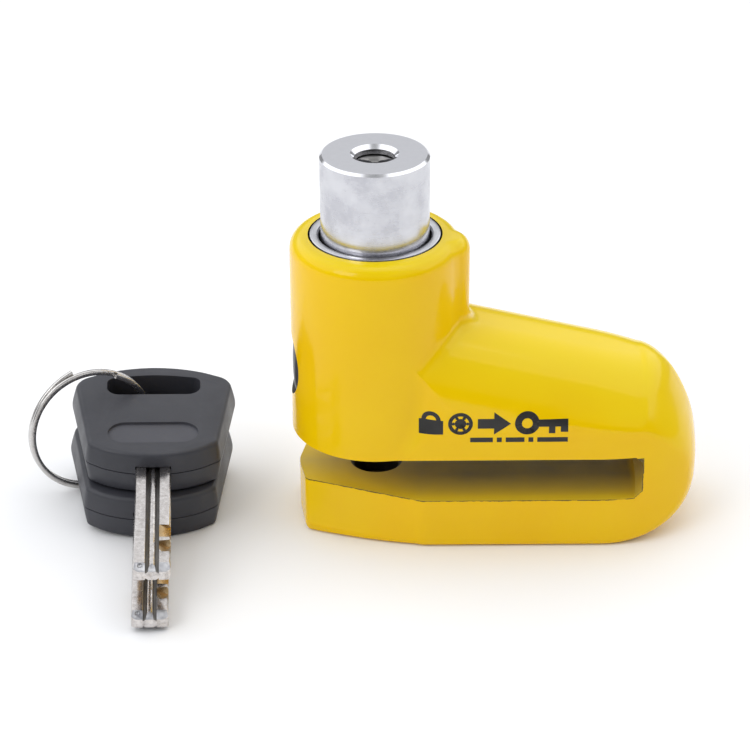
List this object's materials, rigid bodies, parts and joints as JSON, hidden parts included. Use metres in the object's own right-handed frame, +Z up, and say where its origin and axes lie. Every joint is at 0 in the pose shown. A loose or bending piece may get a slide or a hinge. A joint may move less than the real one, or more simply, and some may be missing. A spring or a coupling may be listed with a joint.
{
  "type": "disc brake lock",
  "caption": "Push-down motorcycle brake disc lock: slotted cast body, chromed plunger with key cylinder, and a ring of flat-bladed keys.",
  "frame": {"origin": "underside of the lower jaw, on the plunger's axis", "axes": "+Z up along the plunger, +X from the plunger to the closed end of the disc slot, +Y across the body"},
  "size_m": [0.1414, 0.0706, 0.0812],
  "materials": {
    "enamel": "gloss yellow enamel on cast steel",
    "chrome": "satin chrome",
    "steel": "hardened steel",
    "ring_steel": "bright spring steel",
    "brass": "turned brass",
    "nickel": "nickel-plated brass, cuts bare",
    "key_plastic": "fine-grained moulding",
    "black_plastic": "smooth black moulding"
  },
  "bodies": {
    "housing": {"lock_body": "enamel", "guide_sleeve": "chrome", "side_plug": "black_plastic", "feather_key": "steel", "return_spring": "steel"},
    "plunger": {"plunger_shell": "chrome", "pin_carrier": "steel", "lock_pin": "steel", "cross_pin": "steel", "latch_spring": "steel"},
    "rotor": {"rotor_drum": "brass", "rotor_face": "steel", "sidebar": "steel", "detainer_disc_1": "brass", "detainer_disc_2": "brass", "detainer_disc_3": "brass", "detainer_disc_4": "brass", "detainer_disc_5": "brass", "detainer_disc_6": "brass", "detainer_disc_7": "brass", "detainer_disc_8": "brass", "disc_spacer_1": "steel", "disc_spacer_2": "steel", "disc_spacer_3": "steel", "disc_spacer_4": "steel", "disc_spacer_5": "steel", "disc_spacer_6": "steel", "disc_spacer_7": "steel"},
    "latch": {"latch_bolt": "steel"},
    "key_ring": {"split_ring": "ring_steel"},
    "key_a": {"key_a_blade": "nickel", "key_a_cover_upper": "key_plastic", "key_a_cover_lower": "key_plastic"},
    "key_b": {"key_b_blade": "nickel", "key_b_cover_upper": "key_plastic", "key_b_cover_lower": "key_plastic"}
  },
  "joints": [
    {"name": "plunger_slide", "type": "slide", "parent": "housing", "child": "plunger", "axis": [0, 0, 1], "range_m": [-0.0136, 0], "stiffness_N_per_m": 500, "springref_m": 0.02, "deforming": ["return_spring"]},
    {"name": "rotor_turn", "type": "hinge", "parent": "plunger", "child": "rotor", "pos_m": [0, 0, 0.06], "axis": [0, 0, -1], "range_deg": [0, 90]},
    {"name": "latch_slide", "type": "slide", "parent": "plunger", "child": "latch", "axis": [1, 0, 0], "range_m": [-0.00185, 0]},
    {"name": "ring_lift", "type": "slide", "parent": "housing", "child": "key_ring", "axis": [0, 0, 1], "range_m": [0, 0.06]},
    {"name": "key_a_turn", "type": "hinge", "parent": "key_ring", "child": "key_a", "pos_m": [-0.05108, 0.01269, 0.00715], "axis": [0.044, -0.0772, 0.996], "range_deg": [-8, 16]},
    {"name": "key_b_turn", "type": "hinge", "parent": "key_ring", "child": "key_b", "pos_m": [-0.05028, 0.01439, 0.01713], "axis": [0.044, -0.0772, 0.996], "range_deg": [-16, 16]}
  ],
  "couplings": [
    {"joint": "latch_slide", "follows": "rotor_turn", "m_per_rad": -0.0011704}
  ]
}
